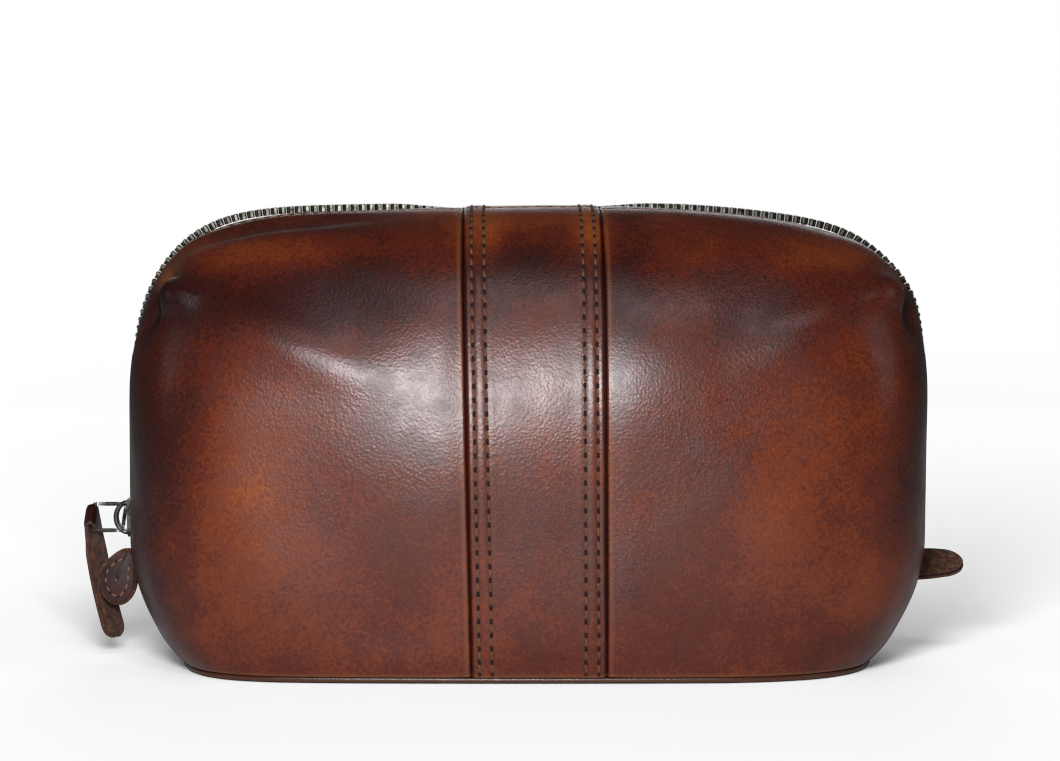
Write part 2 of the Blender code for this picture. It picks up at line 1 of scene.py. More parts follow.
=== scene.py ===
"""The shaving kit bag's looks: pull-up leather skins, a metal zip, its pull and its tabs."""

import json
import math

import bmesh
import bpy
import numpy as np
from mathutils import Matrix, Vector


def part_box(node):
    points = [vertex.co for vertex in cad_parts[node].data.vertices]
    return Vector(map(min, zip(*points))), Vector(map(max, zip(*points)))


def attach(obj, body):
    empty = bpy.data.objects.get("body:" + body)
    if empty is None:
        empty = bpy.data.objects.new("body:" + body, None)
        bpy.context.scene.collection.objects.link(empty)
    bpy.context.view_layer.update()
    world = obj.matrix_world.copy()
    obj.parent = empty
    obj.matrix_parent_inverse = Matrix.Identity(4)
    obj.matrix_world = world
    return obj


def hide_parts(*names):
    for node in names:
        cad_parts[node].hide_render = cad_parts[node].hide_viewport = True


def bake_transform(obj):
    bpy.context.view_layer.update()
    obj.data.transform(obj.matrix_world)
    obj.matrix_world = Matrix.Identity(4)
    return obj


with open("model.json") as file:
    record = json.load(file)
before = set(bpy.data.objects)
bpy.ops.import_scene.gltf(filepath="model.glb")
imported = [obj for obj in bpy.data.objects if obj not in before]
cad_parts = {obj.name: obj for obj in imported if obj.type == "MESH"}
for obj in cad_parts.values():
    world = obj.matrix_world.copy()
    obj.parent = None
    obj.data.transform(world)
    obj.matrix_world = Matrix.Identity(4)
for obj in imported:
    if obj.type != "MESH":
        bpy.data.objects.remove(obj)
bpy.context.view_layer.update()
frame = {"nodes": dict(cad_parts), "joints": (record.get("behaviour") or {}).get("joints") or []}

MM = 0.001
FRONT, BACK = 1.0, -1.0


# ---------------------------------------------------------------- sizes, from the frame
def reach(node, corner, axis):
    """One face of a CAD node's box: corner 0 for low or 1 for high."""
    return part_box(node)[corner][axis]


HALF_L = reach("front_right_panel", 1, 0)
HALF_D = -reach("front_centre_panel", 0, 1)
HEIGHT = reach("front_centre_panel", 1, 2) + 0.1 * MM
FOOT_Z = reach("base_panel", 1, 2) + 0.3 * MM
EDGE_HALF = -reach("front_centre_panel", 1, 1)
MOUTH_Z = frame["joints"][0]["pos_m"][2]
BASE_THICK = reach("base_panel", 1, 2) - reach("base_panel", 0, 2)

# the body's own form, as its maker cut it
WAIST_Z = 40 * MM
LENGTH_POWER, DEPTH_POWER, HEIGHT_POWER = 8.5, 2.5, 3.2
TOP_CROWN = 2.0 * MM
END_TAPER, FACE_TAPER = 0.105, 0.03
ROLL_END, ROLL_FACE, ROLL_START = 0.045, 0.03, 0.72
HEART = np.array([0.0, 0.0, 55 * MM])
HEART_PULL = 0.45
SEAM_LEFT, SEAM_RIGHT = (-17.5 * MM, -21 * MM), (25 * MM, 23.5 * MM)
EDGE_OPENS = 7 * MM

LEATHER = 1.6 * MM
LINING = 0.7 * MM
TAPE = 0.6 * MM
STITCH = 4.3 * MM
THREAD = 0.95 * MM
TOOTH_PITCH = 2.67 * MM


# ---------------------------------------------------------------- small tools
def unit(v):
    return v / np.linalg.norm(v, axis=-1, keepdims=True)


def ease(x, low, high):
    """0 below low, 1 above high, and a smooth step between."""
    u = np.clip((x - low) / (high - low), 0.0, 1.0)
    return u * u * (3.0 - 2.0 * u)


def bell(x, width):
    """1 at 0, falling away over about a width each side."""
    return np.exp(-((x / width) ** 2))


def along_length(line):
    return np.concatenate([[0.0], np.cumsum(np.linalg.norm(np.diff(line, axis=0), axis=1))])


def spaced(line, places):
    """Points at shares of a polyline's length."""
    run = along_length(line)
    return np.stack([np.interp(np.asarray(places) * run[-1], run, c) for c in line.T], axis=-1)


def gathered(count, ends):
    """Shares from 0 to 1 that crowd towards both ends; ends is 0 for even spacing."""
    u = np.linspace(0.0, 1.0, count)
    return u - ends * np.sin(2 * math.pi * u) / (2 * math.pi)


# ---------------------------------------------------------------- materials
def hexed(code):
    """An sRGB hex colour as linear RGBA."""
    parts = [int(code[i:i + 2], 16) / 255 for i in (1, 3, 5)]
    return (*[c / 12.92 if c <= 0.04045 else ((c + 0.055) / 1.055) ** 2.4 for c in parts], 1.0)


def feed(tree, node, links):
    """Sets a node's inputs, each from a number, a hex colour or another node."""
    for key, value in links.items():
        socket = node.inputs[key] if isinstance(key, int) else next(
            i for i in node.inputs if i.enabled and i.name == key)
        if isinstance(value, bpy.types.Node):
            value = next(o for o in value.outputs if o.enabled)
        if isinstance(value, bpy.types.NodeSocket):
            tree.links.new(value, socket)
        else:
            socket.default_value = hexed(value) if isinstance(value, str) else value


def add(tree, kind, links=None, stops=None, **settings):
    """Adds a node with its settings, a ramp's stops and what feeds it."""
    node = tree.nodes.new(kind)
    for key, value in settings.items():
        setattr(node, key, value)
    if stops:
        node.color_ramp.interpolation = "EASE"
        while len(node.color_ramp.elements) < len(stops):
            node.color_ramp.elements.new(0.5)
        for element, (place, value) in zip(node.color_ramp.elements, stops):
            element.position = place
            element.color = hexed(value) if isinstance(value, str) else (value, value, value, 1.0)
    feed(tree, node, links or {})
    return node


def start_material(name):
    """A new material, its tree, its Principled shader and a point's place on the object."""
    made = bpy.data.materials.new(name)
    made.use_nodes = True
    tree = made.node_tree
    return made, tree, tree.nodes["Principled BSDF"], add(tree, "ShaderNodeTexCoord").outputs["Object"]


WAVES = 20               # a wave texture's bands to each unit of its scale


def per(size_mm):
    """The scale of a pattern whose features are about size_mm across."""
    return 1.0 / (size_mm * MM)


def pull_up_leather():
    """Chrome-tanned cowhide, oiled and given a coat of wax: chestnut where it is stretched, tan where hands
    have rubbed it and nearly black where the wax lies thick and where shade is painted in, under a grain that
    breaks up its gloss."""
    made, tree, skin, place = start_material("pull_up_leather")
    cloud = add(tree, "ShaderNodeTexNoise", {"Vector": place, "Scale": per(34), "Detail": 3.0})
    patch = add(tree, "ShaderNodeTexNoise", {
        "Vector": place, "Scale": per(9), "Detail": 6.0, "Roughness": 0.62})
    fleck = add(tree, "ShaderNodeTexNoise", {
        "Vector": place, "Scale": per(1.5), "Detail": 4.0, "Roughness": 0.7})
    # the grain: pebbles under a millimetre across, drawn a little coarse so that they show
    pebble = add(tree, "ShaderNodeTexVoronoi", {"Vector": place, "Scale": per(0.85)}, feature="SMOOTH_F1")
    # the tone the mesh carries: dark wax, with painted shade under the zip, at the wall's ends and along the
    # dart folds
    tone = add(tree, "ShaderNodeAttribute", attribute_name="waxed").outputs["Fac"]
    for pattern, amount in ((cloud, 0.7), (patch, 0.7), (fleck, 0.7), (pebble, 0.5)):
        part = add(tree, "ShaderNodeMath", {0: pattern, 1: amount, 2: -amount / 2}, operation="MULTIPLY_ADD")
        tone = add(tree, "ShaderNodeMath", {0: tone, 1: part}, operation="ADD")
    tone = add(tree, "ShaderNodeMath", {0: tone, 1: 0.5, 2: 0.5}, operation="MULTIPLY_ADD", use_clamp=True)
    dyed = add(tree, "ShaderNodeValToRGB", {"Fac": tone}, stops=[
        (0.1, "#95491a"), (0.34, "#743013"), (0.52, "#591f0e"), (0.72, "#3a1009"), (0.92, "#230806")])
    worn = add(tree, "ShaderNodeAttribute", attribute_name="worn")
    rubbed = {"Factor": worn.outputs["Fac"], "A": dyed, "B": "#8a5330"}
    dyed = add(tree, "ShaderNodeMix", rubbed, data_type="RGBA")
    fine = add(tree, "ShaderNodeTexNoise", {
        "Vector": place, "Scale": per(0.6), "Detail": 2.0, "Roughness": 0.6})
    long = add(tree, "ShaderNodeMapping", {"Vector": place, "Scale": (0.45, 1.0, 1.5)})
    wrinkle = add(tree, "ShaderNodeTexNoise", {
        "Vector": long, "Scale": per(1.15), "Detail": 4.0, "Roughness": 0.6, "Distortion": 0.6})
    creased = add(tree, "ShaderNodeAttribute", attribute_name="creased")
    crease = add(tree, "ShaderNodeMath", {0: wrinkle, 1: creased.outputs["Fac"]}, operation="MULTIPLY")
    dents = add(tree, "ShaderNodeTexNoise", {"Vector": place, "Scale": per(17), "Detail": 2.0})
    normal = add(tree, "ShaderNodeBump", {"Height": dents, "Distance": 0.5 * MM, "Strength": 0.2})
    for height, depth in ((crease, 0.05), (pebble, 0.075), (fine, 0.06)):
        normal = add(tree, "ShaderNodeBump", {"Height": height, "Distance": depth * MM, "Strength": 0.7,
                                              "Normal": normal})
    gloss = add(tree, "ShaderNodeValToRGB", {"Fac": patch}, stops=[(0.3, 0.28), (0.7, 0.37)])
    feed(tree, skin, {"Base Color": dyed, "Normal": normal, "Roughness": gloss, "Specular IOR Level": 0.48})
    return made


def flesh_side():
    """The split side of the same hide: brown suede, its short fibres mottled and dull."""
    made, tree, skin, place = start_material("suede_flesh_side")
    mottle = add(tree, "ShaderNodeTexNoise", {
        "Vector": place, "Scale": per(2.2), "Detail": 5.0, "Roughness": 0.65})
    nap = add(tree, "ShaderNodeTexNoise", {
        "Vector": place, "Scale": per(0.6), "Detail": 4.0, "Roughness": 0.7})
    tone = add(tree, "ShaderNodeMath", {0: mottle, 1: nap, 2: mottle}, operation="MULTIPLY_ADD")
    dyed = add(tree, "ShaderNodeValToRGB", {"Fac": tone}, stops=[
        (0.45, "#2b140d"), (0.72, "#54301f"), (0.98, "#7a4c32")])
    normal = add(tree, "ShaderNodeBump", {"Height": nap, "Distance": 0.3 * MM, "Strength": 0.8})
    feed(tree, skin, {"Base Color": dyed, "Normal": normal, "Roughness": 0.88, "Sheen Weight": 0.12})
    return made


def burnished_tab_leather():
    """The hide's grain side on the tabs and strap: darker than the body, rubbed glossy."""
    made, tree, skin, place = start_material("burnished_tab_leather")
    mottle = add(tree, "ShaderNodeTexNoise", {
        "Vector": place, "Scale": per(4), "Detail": 5.0, "Roughness": 0.6})
    dyed = add(tree, "ShaderNodeValToRGB", {"Fac": mottle}, stops=[
        (0.3, "#1c0705"), (0.55, "#38100a"), (0.8, "#5c2314")])
    fine = add(tree, "ShaderNodeTexNoise", {
        "Vector": place, "Scale": per(0.9), "Detail": 4.0, "Roughness": 0.7})
    normal = add(tree, "ShaderNodeBump", {"Height": fine, "Distance": 0.14 * MM, "Strength": 0.6})
    feed(tree, skin, {"Base Color": dyed, "Normal": normal, "Roughness": 0.4, "Coat Weight": 0.2,
                      "Coat Roughness": 0.3})
    return made


def waxed_thread(name, light, dark):
    """Twisted waxed linen: a soft rope of plies, darker where the wax has picked up dirt."""
    made, tree, skin, place = start_material(name)
    dirt = add(tree, "ShaderNodeTexNoise", {"Vector": place, "Scale": per(3.0), "Detail": 4.0})
    dyed = add(tree, "ShaderNodeMix", {"Factor": dirt, "A": light, "B": dark}, data_type="RGBA")
    ply = {"Vector": place, "Scale": per(0.55) / WAVES}
    plies = add(tree, "ShaderNodeTexWave", ply, bands_direction="DIAGONAL")
    normal = add(tree, "ShaderNodeBump", {"Height": plies, "Distance": 0.1 * MM, "Strength": 0.6})
    feed(tree, skin, {"Base Color": dyed, "Normal": normal, "Roughness": 0.7})
    return made


def awl_hole():
    """The hole the awl leaves at the end of each stitch: shadow and a trace of dark wax."""
    made, tree, skin, place = start_material("awl_hole")
    wax = add(tree, "ShaderNodeTexNoise", {"Vector": place, "Scale": per(1.0)})
    dyed = add(tree, "ShaderNodeMix", {"Factor": wax, "A": "#0f0504", "B": "#260d08"}, data_type="RGBA")
    feed(tree, skin, {"Base Color": dyed, "Roughness": 0.75})
    return made


def plated_metal(name, bright, dull, smooth, rough, grime_mm):
    """Cast or stamped metal under plating that has dulled in patches."""
    made, tree, skin, place = start_material(name)
    grime = add(tree, "ShaderNodeTexNoise", {
        "Vector": place, "Scale": per(grime_mm), "Detail": 5.0, "Roughness": 0.65})
    tint = add(tree, "ShaderNodeValToRGB", {"Fac": grime}, stops=[(0.35, dull), (0.62, bright)])
    gloss = add(tree, "ShaderNodeValToRGB", {"Fac": grime}, stops=[(0.3, rough), (0.7, smooth)])
    scratch = add(tree, "ShaderNodeTexNoise", {"Vector": place, "Scale": per(0.5), "Detail": 3.0})
    normal = add(tree, "ShaderNodeBump", {"Height": scratch, "Distance": 0.02 * MM, "Strength": 0.25})
    feed(tree, skin, {"Base Color": tint, "Roughness": gloss, "Normal": normal, "Metallic": 1.0})
    return made


def plain_woven(name, light, dark, thread_mm):
    """Plain-woven cloth: crossing threads, darker in the gaps between them, dull and dusty."""
    made, tree, skin, place = start_material(name)
    threads = {"Vector": place, "Scale": per(thread_mm) / WAVES}
    warp = add(tree, "ShaderNodeTexWave", threads, bands_direction="X")
    weft = add(tree, "ShaderNodeTexWave", threads, bands_direction="Z")
    weave = add(tree, "ShaderNodeMath", {0: warp, 1: weft}, operation="MULTIPLY")
    fade = add(tree, "ShaderNodeTexNoise", {"Vector": place, "Scale": per(9), "Detail": 4.0})
    tone = add(tree, "ShaderNodeMath", {0: weave, 1: fade}, operation="MULTIPLY")
    dyed = add(tree, "ShaderNodeMix", {"Factor": tone, "A": dark, "B": light}, data_type="RGBA")
    normal = add(tree, "ShaderNodeBump", {"Height": weave, "Distance": 0.12 * MM, "Strength": 0.7})
    feed(tree, skin, {"Base Color": dyed, "Normal": normal, "Roughness": 0.9, "Sheen Weight": 0.1})
    return made


def pressed_paperboard():
    """Grey-brown pressed paperboard: dull, with faint long fibres."""
    made, tree, skin, place = start_material("pressed_paperboard")
    drawn = add(tree, "ShaderNodeMapping", {"Vector": place, "Scale": (1.0, 4.0, 1.0)})
    fibres = add(tree, "ShaderNodeTexNoise", {"Vector": drawn, "Scale": per(3), "Detail": 5.0})
    tint = add(tree, "ShaderNodeMix", {"Factor": fibres, "A": "#5d5044", "B": "#7b6b5a"}, data_type="RGBA")
    feed(tree, skin, {"Base Color": tint, "Roughness": 0.9})
    return made


HIDE = pull_up_leather()
SUEDE = flesh_side()
TAB_HIDE = burnished_tab_leather()
TAN_THREAD = waxed_thread("tan_waxed_thread", "#b5835a", "#7d5233")
BROWN_THREAD = waxed_thread("brown_waxed_thread", "#7d5334", "#4a2c19")
HOLE = awl_hole()
STEEL = plated_metal("antiqued_steel", "#8d867e", "#3d3833", 0.24, 0.5, 2.5)
TEETH = plated_metal("nickel_plated_teeth", "#6f685f", "#2c2722", 0.3, 0.5, 3.0)
TAPE_CLOTH = plain_woven("dark_zip_tape", "#2a1d16", "#0e0907", 0.5)
LINING_CLOTH = plain_woven("cotton_lining", "#8a775c", "#5b4c39", 0.45)
BOARD = pressed_paperboard()


# ---------------------------------------------------------------- the body's surface
def plan_sizes(z):
    down = np.clip((WAIST_Z - z) / WAIST_Z, 0.0, 1.0)
    bend = np.clip((down - ROLL_START) / (1.0 - ROLL_START), 0.0, 1.0)
    roll = 1.0 - np.sqrt(1.0 - 0.96 * bend**2)
    half_l = HALF_L * (1.0 - END_TAPER * down**1.6 - ROLL_END * roll)
    half_d = HALF_D * (1.0 - FACE_TAPER * down**2 - ROLL_FACE * roll)
    return half_l, half_d


def fullness(p):
    """Under 1 inside the body, 1 on its outer face and over 1 outside."""
    half_l, half_d = plan_sizes(p[..., 2])
    top = HEIGHT - WAIST_Z - TOP_CROWN * (p[..., 0] / HALF_L) ** 2
    along = (np.abs(p[..., 0]) / half_l) ** LENGTH_POWER
    out = (np.abs(p[..., 1]) / half_d) ** DEPTH_POWER
    return along + out + np.clip((p[..., 2] - WAIST_Z) / top, 0.0, None) ** HEIGHT_POWER


def cast(aims, heart=HEART):
    """The points of the outer face that lie from a point inside towards the aims."""
    way = unit(np.asarray(aims, float) - heart)
    near, far = np.zeros(way.shape[:-1]), np.full(way.shape[:-1], 0.4)
    for _ in range(34):
        middle = (near + far) / 2
        outside = fullness(heart + way * middle[..., None]) > 1.0
        far, near = np.where(outside, middle, far), np.where(outside, near, middle)
    return heart + way * near[..., None]


def outward(points):
    """The outer face's normals."""
    step = 0.05 * MM * np.eye(3)
    return unit(np.stack([fullness(points + d) - fullness(points - d) for d in step], axis=-1))


def base_edge(grow=0.0):
    """The front half of the wall's foot, from the left end round to the right end."""
    half_l, half_d = plan_sizes(FOOT_Z)
    turn = np.linspace(-math.pi / 2, math.pi / 2, 4001)
    x = (half_l + grow) * np.sign(turn) * np.abs(np.sin(turn)) ** (2 / LENGTH_POWER)
    y = -(half_d + grow) * np.abs(np.cos(turn)) ** (2 / DEPTH_POWER)
    return np.stack([x, y, np.full_like(x, FOOT_Z)], axis=-1)


def zip_line(start_z):
    """The zip's middle line on the outer face, from the left end over the top to the right."""
    turn = np.linspace(-0.75 * math.pi, 0.75 * math.pi, 3201)
    line = cast(HEART + np.stack([np.sin(turn), np.zeros_like(turn), np.cos(turn)], axis=-1))
    ends = [np.interp(start_z, half[:, 2], half[:, 0]) for half in (line[:1000], line[:-1000:-1])]
    line = line[line[:, 2] > start_z]
    return np.concatenate([[[ends[0], 0, start_z]], line, [[ends[1], 0, start_z]]])


def panel_stops(line, seams):
    run = along_length(line)
    middle = np.abs(line[:, 0]) < 0.4 * HALF_L
    return [0.0, *np.interp(seams, line[middle, 0], run[middle] / run[-1]), 1.0]


FOOT, ZIP = base_edge(), zip_line(MOUTH_Z)
FOOT_STOPS = panel_stops(FOOT, (SEAM_LEFT[0], SEAM_RIGHT[0]))
ZIP_STOPS = panel_stops(ZIP, (SEAM_LEFT[1], SEAM_RIGHT[1]))


def wall(s, t):
    """The front wall's outer face: s runs 0, 1, 2, 3 over its panels, t from the base to the zip."""
    foot = spaced(FOOT, np.interp(s, [0, 1, 2, 3], FOOT_STOPS))
    head = spaced(ZIP, np.interp(s, [0, 1, 2, 3], ZIP_STOPS))
    parting = ease(head[:, 2], MOUTH_Z, MOUTH_Z + EDGE_OPENS)
    head[:, 1] = -0.15 * MM - (EDGE_HALF - 0.15 * MM) * parting
    foot[:, 1] = np.minimum(foot[:, 1], -0.15 * MM)
    middle = (foot[:, 0] + head[:, 0]) / 2
    heart = np.outer(middle * (1 - HEART_PULL * (middle / HALF_L) ** 2), (1, 0, 0)) + HEART
    low, high = unit(foot - heart)[:, None], unit(cast(head) - heart)[:, None]
    angle = np.arccos(np.sum(low * high, axis=-1, keepdims=True))
    t, heart = np.asarray(t)[..., None], heart[:, None]
    return cast(heart + low * np.sin((1 - t) * angle) + high * np.sin(t * angle), heart)


# ---------------------------------------------------------------- how the sewn leather has settled
CORNER_DARTS = (
    # the eye where the pleat is pinched, the way its fold runs down, the middle of the bulge inside it,
    # where the ridge from that bulge fades out, and how deep it all is
    {"eye": (-117.0 * MM, 126.5 * MM), "way": (0.10, -1.0), "bulge": (5.5 * MM, -5.5 * MM),
     "ridge": (-38 * MM, 92 * MM), "deep": 1.0},
    {"eye": (120.5 * MM, 126.5 * MM), "way": (-0.22, -1.0), "bulge": (-8.0 * MM, -3.0 * MM),
     "ridge": (62 * MM, 100 * MM), "deep": 0.8},
)


def swell(x, z):
    """Broad shallow hollows and swellings of leather that has been used."""
    waves = (
        (83, 126, 0.3, 0.3), (134, -76, 1.7, 0.3), (58, 90, 2.4, 0.12), (41, -63, 5.1, 0.06),
    )
    return MM * sum(a * np.sin(x / (w * MM) * 6.28 + z / (h * MM) * 6.28 + f) for w, h, f, a in waves)


def dart_ridge(p, dart):
    """The soft ridge from a dart's bulge to the middle of the wall, with the hollow above it."""
    top = np.array(dart["eye"]) + np.array(dart["bulge"])
    way = np.array(dart["ridge"]) - top
    length = np.hypot(*way)
    x, z = p[..., 0] - top[0], p[..., 2] - top[1]
    share = (x * way[0] + z * way[1]) / length**2
    above = np.sign(way[0]) * (z * way[0] - x * way[1]) / length
    fade = ease(share, -0.12, 0.1) * (1 - ease(share, 0.5, 1.05))
    return MM * fade * (1.5 * bell(above, 8 * MM) - 1.9 * bell(above - 18 * MM, 13 * MM))


def dart_relief(p):
    """The pinched pleats at the upper corners: a tan eye by the zip, a fold that runs down from it, the
    leather that bulges inside the fold, and painted shade along the fold."""
    lift, pit, shade = (np.zeros(p.shape[:-1]) for _ in range(3))
    front = ease(-p[..., 1], 9 * MM, 20 * MM)
    for dart in CORNER_DARTS:
        way = np.array(dart["way"]) / np.hypot(*dart["way"])
        x, z = p[..., 0] - dart["eye"][0], p[..., 2] - dart["eye"][1]
        down, aside = x * way[0] + z * way[1], x * way[1] - z * way[0]
        curve = aside + np.sign(dart["eye"][0]) * 0.018 * down**2 / MM
        run = ease(down, -3 * MM, 2 * MM) * (1 - ease(down, 6 * MM, 22 * MM))
        slant = x * 0.8 + z * 0.6, z * 0.8 - x * 0.6
        eye = bell(slant[0], 3.6 * MM) * bell(slant[1], 2.4 * MM)
        lip = bell(slant[0], 4.5 * MM) * bell(slant[1] - 1.8 * MM, 2.6 * MM)
        fold = bell(curve, 2.0 * MM) * run
        swelling = bell(x - dart["bulge"][0], 6.2 * MM) * bell(z - dart["bulge"][1], 5.6 * MM)
        lift = lift + dart["deep"] * MM * front * (5.6 * swelling - 3.6 * fold - 3.6 * eye)
        lift = lift + dart["deep"] * dart_ridge(p, dart)
        pit = np.maximum(pit, front * np.maximum(eye, lip))
        # painted shade along the fold, which darkens the leather's tone
        shade = np.maximum(shade, front * bell(curve, 1.6 * MM) * run)
    return lift, pit, shade


def settle(p, side):
    """Moves the ideal outer face to where this bag's has sagged: shoulders that stand out, a lower
    right end of the top and pulled-in feet."""
    x, y, z = 0.994 * p[..., 0], p[..., 1], p[..., 2]
    high = np.clip((z - WAIST_Z) / (HEIGHT - WAIST_Z), 0.0, 1.0)
    low = 1.0 - ease(z, 0.0, 27 * MM)
    right, left = ease(x, 88 * MM, 128 * MM), ease(-x, 88 * MM, 128 * MM)
    out = right * (3.4 * bell(z - 124 * MM, 15 * MM) + 2.2 * bell(z - 100 * MM, 20 * MM))
    out = out - left * (1.3 * bell(z - 124 * MM, 15 * MM) + 1.5 * bell(z - 102 * MM, 18 * MM))
    sag = 2.4 * ease(x, 45 * MM, 100 * MM) - 0.5 * bell(x - 8 * MM, 25 * MM)
    pull = low * (2.0 * ease(-x, 70 * MM, 118 * MM) - 2.2 * ease(x, 70 * MM, 118 * MM))
    y = y * (1.0 - 0.1 * low * ease(x, 60 * MM, 122 * MM) - 0.08 * (x / HALF_L) ** 2)
    return np.stack([x + MM * (out + pull), y, z - MM * sag * high**2], axis=-1)


def slack_edge(face, head, side):
    """How far the leather's edge has sunk beside the standing teeth, most on the front's left."""
    x, z = face[..., 0], face[..., 2]
    slack = 0.9 * MM * ease(np.abs(x - 5 * MM), 22 * MM, 60 * MM) * bell(head, 9 * MM)
    if side == FRONT:
        shoulder = 0.3 * bell(head, 3 * MM) + 2.4 * bell(head - 17 * MM, 7 * MM)
        slack = slack + MM * bell(x + 84 * MM, 36 * MM) * shoulder
    return slack * ease(z, 70 * MM, 110 * MM)


# ---------------------------------------------------------------- meshes
def as_object(name, points, faces, finishes, picks=None, smooth=True):
    """A mesh object with its faces turned outwards."""
    mesh = bpy.data.meshes.new(name)
    mesh.from_pydata(np.asarray(points).tolist(), [], faces)
    for finish in finishes:
        mesh.materials.append(finish)
    if picks is not None:
        mesh.polygons.foreach_set("material_index", np.asarray(picks, np.int32))
    shape = bmesh.new()
    shape.from_mesh(mesh)
    bmesh.ops.recalc_face_normals(shape, faces=shape.faces)
    shape.to_mesh(mesh)
    shape.free()
    if smooth:
        mesh.shade_smooth()
    made = bpy.data.objects.new(name, mesh)
    bpy.context.collection.objects.link(made)
    return made


def paint(obj, name, values):
    """Stores a value for each point of the mesh, for its material to read."""
    layer = obj.data.attributes.new(name, "FLOAT", "POINT")
    layer.data.foreach_set("value", np.asarray(values, np.float32).ravel())


def skin_mesh(name, outer, inner, rounds, finishes, values):
    """A closed sheet between two grids, its rim rounded through extra loops of points.

    rounds are shares of the way from outer to inner with how far each loop stands out."""
    rows, columns = outer.shape[:2]
    count = rows * columns
    at = np.arange(count).reshape(rows, columns)
    quads = np.stack([at[:-1, :-1], at[:-1, 1:], at[1:, 1:], at[1:, :-1]], axis=-1).reshape(-1, 4)
    rim = np.concatenate([at[0, :-1], at[:-1, -1], at[-1, :0:-1], at[:0:-1, 0]])
    inwards = np.concatenate([at[1, :-1], at[:-1, -2], at[-2, :0:-1], at[:0:-1, 1]])
    flat_outer, flat_inner = outer.reshape(-1, 3), inner.reshape(-1, 3)
    away = unit(flat_outer[rim] - flat_outer[inwards] + 1e-9)
    loops, layers = [rim], []
    for k, (share, stand) in enumerate(rounds):
        layers.append(flat_outer[rim] * (1 - share) + flat_inner[rim] * share + away * stand)
        loops.append(2 * count + k * len(rim) + np.arange(len(rim)))
    loops.append(rim + count)
    faces = [*quads.tolist(), *(quads[:, ::-1] + count).tolist()]
    picks = [0] * len(quads) + [1] * len(quads)
    for here, there in zip(loops, loops[1:]):
        edge = np.stack([here, np.roll(here, -1), np.roll(there, -1), there], axis=-1)
        faces += edge.tolist()
        picks += [2] * len(edge)
    made = as_object(name, np.concatenate([flat_outer, flat_inner, *layers]), faces, finishes, picks)
    for key, value in values.items():
        flat = value.reshape(-1)
        paint(made, key, np.concatenate([flat, flat, *[flat[rim]] * len(layers)]))
    return made


def bend_with(obj):
    """Bakes the object's placement into its mesh; it stays unattached."""
    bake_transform(obj)


SEAM_PART = 0.0012
SPANS = {
    "left": (0.0, 1.0 - SEAM_PART),
    "centre": (1.0 + SEAM_PART, 2.0 - SEAM_PART),
    "right": (2.0 + SEAM_PART, 3.0),
}
RIM_ROUND = ((0.12, 0.22 * MM), (0.5, 0.36 * MM), (0.88, 0.22 * MM))


def panel_grid(place, columns, rows):
    """A panel's ideal outer face with the distances of its points from its own edges."""
    s = SPANS[place][0] + (SPANS[place][1] - SPANS[place][0]) * gathered(columns, 0.86)
    face = wall(s, np.broadcast_to(gathered(rows, 0.72), (columns, rows)))
    across = np.linalg.norm(np.diff(face, axis=0), axis=-1)
    upward = np.linalg.norm(np.diff(face, axis=1), axis=-1)
    zeros_a, zeros_u = np.zeros((1, rows)), np.zeros((columns, 1))
    from_left = np.concatenate([zeros_a, np.cumsum(across, axis=0)])
    from_foot = np.concatenate([zeros_u, np.cumsum(upward, axis=1)], axis=1)
    return face, from_left, from_left[-1] - from_left, from_foot, from_foot[:, -1:] - from_foot


SEAM_ROWS = (2.4 * MM, 6.4 * MM)
EDGE_ROW = 7.0 * MM


def panel_relief(place, face, left, right, foot, head):
    """How far the outer face stands off its ideal, from seams, stitches, darts and use."""
    seams = {"left": (right,), "centre": (left, right), "right": (left,)}[place]
    forward = ease(np.abs(face[..., 1]), 12 * MM, 34 * MM)
    lift = swell(face[..., 0], face[..., 2]) * ease(foot, 0.0, 15 * MM) * ease(head, 0.0, 12 * MM) * forward
    worn = 0.55 * bell(head, 0.9 * MM) + 0.5 * bell(foot, 0.8 * MM) + 0.5 * bell(head - EDGE_ROW, 0.9 * MM)
    for far in seams:
        lift = lift - 0.8 * MM * bell(far, 0.45 * MM)
        if place == "centre":
            lift = lift + 0.3 * MM * bell(far - 4.2 * MM, 3.4 * MM)
            for row in SEAM_ROWS:
                lift = lift - 0.18 * MM * bell(far - row, 0.8 * MM)
        else:
            lift = lift - 0.35 * MM * bell(far, 5.0 * MM)
            worn = worn + 0.35 * bell(far - 1.5 * MM, 0.6 * MM)
    lift = lift - 0.3 * MM * bell(head - EDGE_ROW, 0.9 * MM) - 0.4 * MM * bell(head, 1.0 * MM)
    darts, pit, shade = dart_relief(face)
    return lift + darts, worn + pit, shade


WAX_AND_SHADE_PATCHES = (
    # x and z of the middle, half width and half height, and how dark (below 0: rubbed light), in mm; the dark
    # patches hold wax and also painted shade: the band under the zip where the top tilts back, the wall's
    # turned-away ends and the bulges beside the darts
    (-52, 122, 40, 15, 0.6), (-92, 118, 24, 10, 0.4), (-128, 78, 9, 44, 0.6), (-110, 84, 12, 40, 0.45),
    (-14, 142, 7, 9, -0.6), (21, 141, 6, 9, -0.8), (-112, 119, 8, 6, 0.35), (-118, 60, 10, 20, 0.2),
    (-120, 24, 12, 20, 0.3), (-88, 58, 28, 26, -0.4), (-84, 136, 34, 5, -0.35), (-84, 146, 40, 6, 0.3),
    (-52, 28, 34, 22, -0.12), (-28, 148, 14, 5, -0.3), (2, 131, 20, 9, 0.55), (3, 146, 20, 5, -0.25),
    (3, 66, 20, 30, -0.05), (30, 128, 10, 30, 0.35), (68, 122, 32, 14, 0.45), (98, 136, 20, 5, -0.4),
    (128, 92, 8, 46, 0.45), (96, 78, 20, 18, -0.15), (78, 52, 16, 20, -0.3), (108, 30, 18, 14, -0.35),
    (40, 40, 18, 24, 0.1), (118, 50, 10, 20, 0.2),
)


